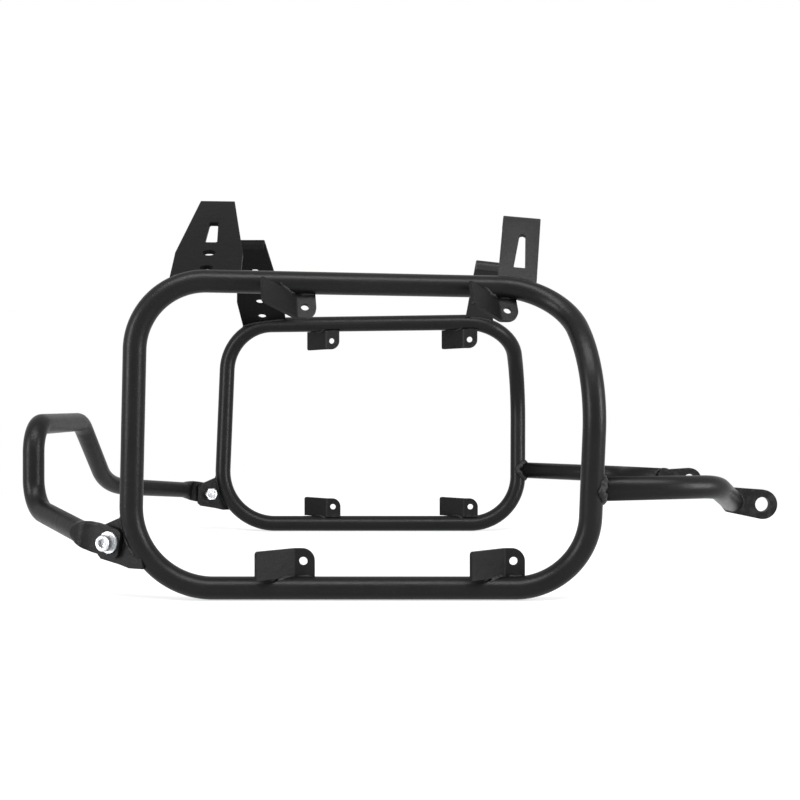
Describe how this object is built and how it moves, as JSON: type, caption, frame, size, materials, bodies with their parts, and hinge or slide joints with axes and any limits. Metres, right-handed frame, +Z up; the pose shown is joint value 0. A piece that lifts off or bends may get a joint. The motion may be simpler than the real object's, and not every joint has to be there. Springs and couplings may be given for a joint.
{
  "type": "motorcycle luggage rack",
  "caption": "Tubular steel rack that holds a side case on each side of a motorcycle: mirrored bent loops with case tabs and brackets, joined by a crossbar.",
  "frame": {"origin": "middle of the bounding box at floor level, under the two foot tubes", "axes": "+X forward along the motorcycle, +Y to its left, +Z up"},
  "size_m": [0.659, 0.5358, 0.3331],
  "materials": {
    "powder_coat": "black powder coat, semi-gloss with fine orange peel",
    "zinc": "bright zinc plated"
  },
  "bodies": {
    "root": {"right_loop": "powder_coat", "right_arm_tube": "powder_coat", "right_arm_lug": "powder_coat", "right_rear_bracket": "powder_coat", "right_front_bracket": "powder_coat", "right_tab_lower_rear": "powder_coat", "right_tab_lower_front": "powder_coat", "right_tab_upper_rear": "powder_coat", "right_tab_upper_front": "powder_coat", "right_gusset": "powder_coat", "right_bolt": "zinc", "right_washer": "zinc", "right_nut": "zinc", "left_loop": "powder_coat", "left_arm_tube": "powder_coat", "left_arm_lug": "powder_coat", "left_rear_bracket": "powder_coat", "left_front_bracket": "powder_coat", "left_tab_lower_rear": "powder_coat", "left_tab_lower_front": "powder_coat", "left_tab_upper_rear": "powder_coat", "left_tab_upper_front": "powder_coat", "left_gusset": "powder_coat", "left_bolt": "zinc", "left_washer": "zinc", "left_nut": "zinc", "crossbar": "powder_coat"}
  },
  "joints": []
}
